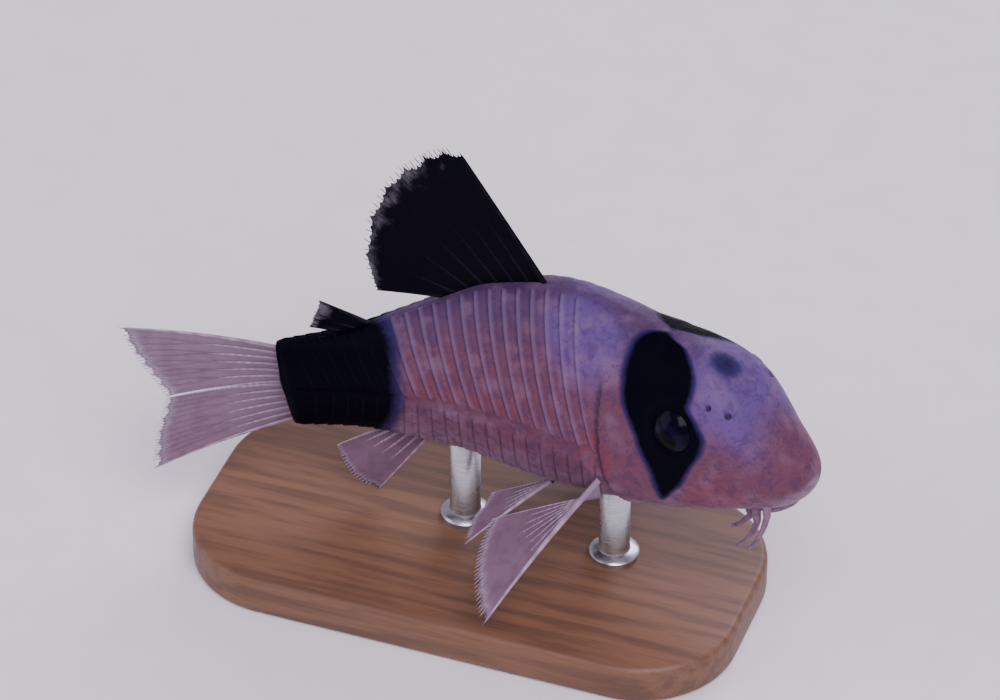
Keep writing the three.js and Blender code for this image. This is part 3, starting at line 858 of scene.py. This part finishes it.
class CATFISH_OT_fins(bpy.types.Operator):
    """Fins: branching rays with free tips and the thin membranes between them"""

    bl_idname = "catfish.fins"
    bl_label = "Fins"

    BLACK = ("dorsal_fin", "adipose_fin")

    def clear_share(self, name, q, f):
        """How see-through the black fins are: more towards the tips, and less at the dorsal fin's front."""
        if name == "dorsal_fin":
            return 0.75 * smooth(0.66, 1.0, f) * smooth(0.05, 0.4, q)
        if name == "adipose_fin":
            return smooth(0.45, 0.9, f)
        return 0.0

    def membrane(self, name, fin, half, rng):
        bm = bmesh.new()
        marks = bm.verts.layers.float_vector.new("marks")
        steps, rows = 16, 24
        count = (fin.rays - 1) * steps + 1
        notches = [fin.fray * rng.uniform(0.7, 1.25) for _ in range(fin.rays)]

        def place(vert, column, row):
            front = column < count
            k = column if front else 2 * count - 1 - column
            k = 0 if column == 2 * count else k
            q = k / (count - 1)
            turn = math.pi * q * (fin.rays - 1)
            between = 0.6 * abs(math.sin(turn)) ** 0.7 + 0.4 * abs(math.sin(4 * turn)) ** 0.7
            reach = 0.985 - notches[min(k // steps, fin.rays - 1)] * between
            f = mix(-0.001, reach, row / (rows - 1))
            flat = half * (1 - smooth(0.9, 1.0, row / (rows - 1))) if 0 < k < count - 1 else 0
            vert.co = bent(fin.at(q, f, flat if front else -flat))
            rim = 0.0 if name in self.BLACK else smooth(0.86, 1.0, row / (rows - 1))
            vert[marks] = (self.clear_share(name, q, f), 1 - 1.6 * f, rim)

        wrap(bm, 2 * count + 1, rows, place)
        return bm

    def ray(self, bm, marks, name, fin, q, f_from, f_to, spread, radius, depth):
        """One stretch of a ray, and the two branches that it splits into."""
        steps = 14
        path, radii, places = [], [], []
        for step in range(steps + 1):
            f = mix(f_from, f_to, step / steps)
            here = q[0] + (q[1] - q[0]) * smooth(0, 1, step / steps)
            places.append((here, f))
            path.append(fin.at(here, f))
            radii.append(radius * mix(1.0, 0.72, step / steps) * (1 - 0.55 * f))
        if depth == 0:
            radii[-1] = 0.0

        def mark(vert, row):
            here, f = places[row]
            joint = max(row % 2, 1 - 3 * f)
            clear = self.clear_share(name, here, f)
            vert[marks] = (clear, joint, 0.0 if name in self.BLACK else 0.3 + 0.4 * f)

        tube(bm, path, radii, 8, fin.across(q[0]), 0.8, mark)
        if depth > 0:
            far = mix(f_to, 1.0, 0.5) if depth > 1 else 1.0
            for way in (-1, 1):
                branch = (q[1], min(max(q[1] + way * spread, 0.0), 1.0))
                self.ray(bm, marks, name, fin, branch, f_to, far, spread * 0.5, radius * 0.72, depth - 1)

    def execute(self, context):
        sizes, colours = context.scene.fish_sizes, context.scene.fish_colours
        pale = membrane_material("pale_fin_membrane", colours.film, linear("#5f4757"), 0.76, 0.7, 0.25)
        dark = membrane_material("black_fin_membrane", colours.black, linear("#08060f"), 0.99, 0.62, 0.07)
        pale_ray = membrane_material("pale_fin_ray", colours.ray, linear("#755f72"), 1.0, 1.0, 0.25)
        dark_ray = membrane_material("black_fin_ray", colours.black, linear("#120d1c"), 1.0, 0.8, 0.12)
        fins = {**middle_fins(), **paired_fins(1, "left"), **paired_fins(-1, "right")}
        rng = random.Random(11)
        for name, fin in fins.items():
            black = name in self.BLACK
            slot = "dorsal" if name == "dorsal_fin" else "fin"
            bm = self.membrane(name, fin, sizes.membrane / MM / 2, rng)
            finish(bm, name + "_membrane", dark if black else pale, slot, name)
            bm = bmesh.new()
            marks = bm.verts.layers.float_vector.new("marks")
            for k in range(fin.rays):
                q = k / (fin.rays - 1)
                spine = fin.spine if k == 0 else 1.0
                split = rng.uniform(0.42, 0.5)
                depth = 0 if k == 0 else 2
                until = 1.0 if k == 0 else split
                spread = 0.25 / (fin.rays - 1)
                self.ray(bm, marks, name, fin, (q, q), 0.0, until, spread, sizes.ray / MM * spine, depth)
            finish(bm, name + "_rays", dark_ray if black else pale_ray, slot)
        return {"FINISHED"}


# Where each barbel starts: share, angle and height above the skin, and then the points that it hangs through
BARBELS = {
    "upper": (0.065, 134, 0.31, ((-0.3, 0.3, -0.9), (-0.9, 0.6, -1.9), (-1.7, 0.8, -2.7))),
    "lower": (0.095, 150, 0.57, ((-0.4, 0.2, -0.8), (-1.1, 0.4, -1.6), (-1.9, 0.5, -2.2))),
    "chin": (0.125, 166, 0.43, ((-0.5, 0.1, -0.5), (-1.1, 0.2, -1.0), (-1.8, 0.2, -1.3))),
}
MOUTH_AT, MOUTH_HALF, LIP, MOUTH_Z = 0.075, 1.9, 0.42, 0.8
# The bow of a lip: forward, share of the mouth's half width, and up
LIP_BOW = ((-0.9, -1.0, 0.2), (0.1, -0.72, -0.05), (0.75, 0.0, -0.1), (0.1, 0.72, -0.05), (-0.9, 1.0, 0.2))


def smooth_path(points, steps):
    """A curve through all of the points, a given number of steps between each two."""
    ends = [points[0] * 2 - points[1], *points, points[-1] * 2 - points[-2]]
    path = []
    for a, b, c, d in zip(ends, ends[1:], ends[2:], ends[3:]):
        for step in range(steps):
            f = step / steps
            bend, twist = a * 2 - b * 5 + c * 4 - d, b * 3 - a - c * 3 + d
            path.append((b * 2 + (c - a) * f + bend * f * f + twist * f**3) / 2)
    return [*path, points[-1]]


class CATFISH_OT_mouth(bpy.types.Operator):
    """Lips and the three pairs of barbels"""

    bl_idname = "catfish.mouth"
    bl_label = "Mouth and barbels"

    def execute(self, context):
        material = bpy.data.materials["moist_catfish_skin"]
        thick = context.scene.fish_sizes.barbel / MM
        up = Vector((0, 0, 1))

        def new_piece():
            bm = bmesh.new()
            tone_and_sheen = bm.verts.layers.float_vector.new("tone_and_sheen")

            def mark(vert, row):
                # A little of the painted violet sheen on the barbels and lips
                vert[tone_and_sheen] = (0.7, 0.2, 0.1)

            return bm, mark

        for side, word in ((1, "left"), (-1, "right")):
            for name, (at, angle, clear, points) in BARBELS.items():
                bm, mark = new_piece()
                out = outward(at, angle * side)
                start = skin(at, angle * side) + out * clear
                knee = start + out * 0.35
                trail = [knee + Vector((dx, side * dy, dz)) for dx, dy, dz in points]
                path = smooth_path([start - out * ROOTED * 1.4, start, knee, *trail], 8)
                last = len(path) - 1
                radii = [thick * mix(1.05, 0.32, (k / last) ** 0.8) for k in range(last)]
                tube(bm, path, [*radii, 0.0], 14, up, 1.0, mark)
                finish(bm, f"{name}_barbel_{word}", material, "skin", f"barbel_{name}_{word}")

        bm, mark = new_piece()
        for shift, width, drop in ((0.0, 1.0, 0.0), (1.0, 0.8, -0.1)):
            half = MOUTH_HALF * width
            x = SNOUT_X - MOUTH_AT * STANDARD_LENGTH - shift
            z = BELLY_Z + MOUTH_Z + drop
            path = smooth_path([Vector((x + dx, half * dy, z + dz)) for dx, dy, dz in LIP_BOW], 10)
            last = len(path) - 1
            radii = [LIP * math.sin(math.pi * mix(0.04, 0.96, k / last)) ** 0.35 for k in range(last + 1)]
            tube(bm, path, [0.0, *radii[1:-1], 0.0], 16, up, 1.0, mark)
        finish(bm, "lips", material, "skin")
        return {"FINISHED"}


BASE_CORNER, BASE_BEVEL = 7.0, 0.5
# The turned foot of a rod: share of the rod's radius, and height above the base
ROD_FOOT = ((1.6, 0.0), (1.6, 0.4), (1.45, 0.55), (1.05, 0.7), (1.0, 0.85))


class CATFISH_OT_stand(bpy.types.Operator):
    """Walnut base with softened edges and two turned steel rods"""

    bl_idname = "catfish.stand"
    bl_label = "Display stand"

    def execute(self, context):
        colours = context.scene.fish_colours
        low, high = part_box("stand_base")
        size = (Vector(high) - Vector(low)) / MM
        bm = bmesh.new()
        bmesh.ops.create_cube(bm, size=1.0)
        bmesh.ops.scale(bm, vec=size, verts=bm.verts)
        bmesh.ops.translate(bm, vec=(Vector(high) + Vector(low)) / MM / 2, verts=bm.verts)
        upright = [e for e in bm.edges if abs(e.verts[0].co.z - e.verts[1].co.z) > 1]
        shape = {"affect": "EDGES", "profile": 0.5, "material": -1}
        bmesh.ops.bevel(bm, geom=upright, offset=BASE_CORNER, segments=16, **shape)
        rims = [e for e in bm.edges if abs(e.verts[0].co.z - e.verts[1].co.z) < 0.1 and not e.is_boundary]
        bmesh.ops.bevel(bm, geom=rims, offset=BASE_BEVEL, segments=4, **shape)
        finish(bm, "base", wood_material(colours), "stand_wood", "stand_base")
        steel = steel_material(colours)
        for word in ("front", "rear"):
            low, high = (Vector(corner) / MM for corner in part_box("stand_rod_" + word))
            middle, radius = (low + high) / 2, (high.x - low.x) / 2
            top = high.z + NODE_GAP + 0.2
            foot = [(radius * share, low.z + rise) for share, rise in ROD_FOOT]
            tip = [(radius, top - 0.25), (radius * 0.82, top), (0.0, top)]
            profile = [(0.0, low.z), *foot, *tip]
            bm = bmesh.new()
            points = [bm.verts.new((middle.x + out, middle.y, z)) for out, z in profile]
            edges = [bm.edges.new(pair) for pair in zip(points, points[1:])]
            bmesh.ops.spin(
                bm,
                geom=[*points, *edges],
                cent=(middle.x, middle.y, 0),
                axis=(0, 0, 1),
                angle=math.tau,
                steps=64,
                use_merge=True,
            )
            rod = finish(bm, "rod_" + word, steel, "stand_steel", "stand_rod_" + word)
            rod.data.set_sharp_from_angle(angle=math.radians(40))
        return {"FINISHED"}


AIM = Vector((0.4, 3.2, 17.4)) * MM  # what the camera and the lights point at
# Each soft light: place and width in metres, power in watts and tint
LIGHTS = (
    ("key", (0.25, -0.35, 0.55), 0.45, 5.0, "#faf2ff"),
    ("fill", (-0.5, -0.25, 0.3), 0.5, 1.6, "#efeaff"),
    ("rim", (0.1, 0.5, 0.35), 0.4, 2.4, "#f0ebff"),
)


class CATFISH_OT_stage(bpy.types.Operator):
    """Pale floor, soft lights and the camera at the photograph's angle"""

    bl_idname = "catfish.stage"
    bl_label = "Stage"

    def execute(self, context):
        scene = context.scene
        sizes, colours = scene.fish_sizes, scene.fish_colours
        bm = bmesh.new()
        bmesh.ops.create_grid(bm, x_segments=2, y_segments=2, size=2.0)
        mesh = bpy.data.meshes.new("floor")
        bm.to_mesh(mesh)
        bm.free()
        mesh.materials.append(floor_material(colours))
        floor = bpy.data.objects.new("floor", mesh)
        scene.collection.objects.link(floor)

        for name, place, width, power, tint in LIGHTS:
            lamp = bpy.data.lights.new(name, "AREA")
            lamp.size = width
            lamp.energy = power
            lamp.color = linear(tint)[:3]
            holder = bpy.data.objects.new(name, lamp)
            holder.location = place
            holder.rotation_euler = (AIM - Vector(place)).to_track_quat("-Z", "Y").to_euler()
            scene.collection.objects.link(holder)
        world = bpy.data.worlds.new("studio")
        world.use_nodes = True
        sky = world.node_tree.nodes["Background"]
        sky.inputs["Color"].default_value = linear("#ece7f7")
        sky.inputs["Strength"].default_value = 0.45
        scene.world = world

        lens = bpy.data.cameras.new("camera")
        lens.lens = sizes.lens
        lens.sensor_width = 36
        lens.clip_start = 0.01
        camera = bpy.data.objects.new("camera", lens)
        turn, rise = sizes.azimuth, sizes.elevation
        away = Vector((math.sin(turn) * math.cos(rise), -math.cos(turn) * math.cos(rise), math.sin(rise)))
        camera.location = AIM + away * sizes.camera_distance
        camera.rotation_euler = (-away).to_track_quat("-Z", "Y").to_euler()
        scene.collection.objects.link(camera)
        scene.camera = camera
        return {"FINISHED"}


OPERATORS = (
    CATFISH_OT_stage,
    CATFISH_OT_skin,
    CATFISH_OT_eyes,
    CATFISH_OT_fins,
    CATFISH_OT_mouth,
    CATFISH_OT_stand,
)


class CATFISH_PT_panel(bpy.types.Panel):
    """Buttons for the pieces, and their sizes and colours"""

    bl_idname = "CATFISH_PT_panel"
    bl_label = "Catfish"
    bl_space_type = "VIEW_3D"
    bl_region_type = "UI"
    bl_category = "Catfish"

    def draw(self, context):
        for operator in OPERATORS:
            self.layout.operator(operator.bl_idname)
        for group in (context.scene.fish_sizes, context.scene.fish_colours):
            for name in group.__annotations__:
                self.layout.prop(group, name)


CLASSES = (FishSizes, FishColours, *OPERATORS, CATFISH_PT_panel)


def register():
    for kind in CLASSES:
        bpy.utils.register_class(kind)
    bpy.types.Scene.fish_sizes = bpy.props.PointerProperty(type=FishSizes)
    bpy.types.Scene.fish_colours = bpy.props.PointerProperty(type=FishColours)


def unregister():
    del bpy.types.Scene.fish_colours
    del bpy.types.Scene.fish_sizes
    for kind in reversed(CLASSES):
        bpy.utils.unregister_class(kind)


def main():
    register()
    bpy.ops.catfish.stage()
    bpy.ops.catfish.skin()
    bpy.ops.catfish.eyes()
    bpy.ops.catfish.fins()
    bpy.ops.catfish.mouth()
    bpy.ops.catfish.stand()


if __name__ == "__main__":
    main()
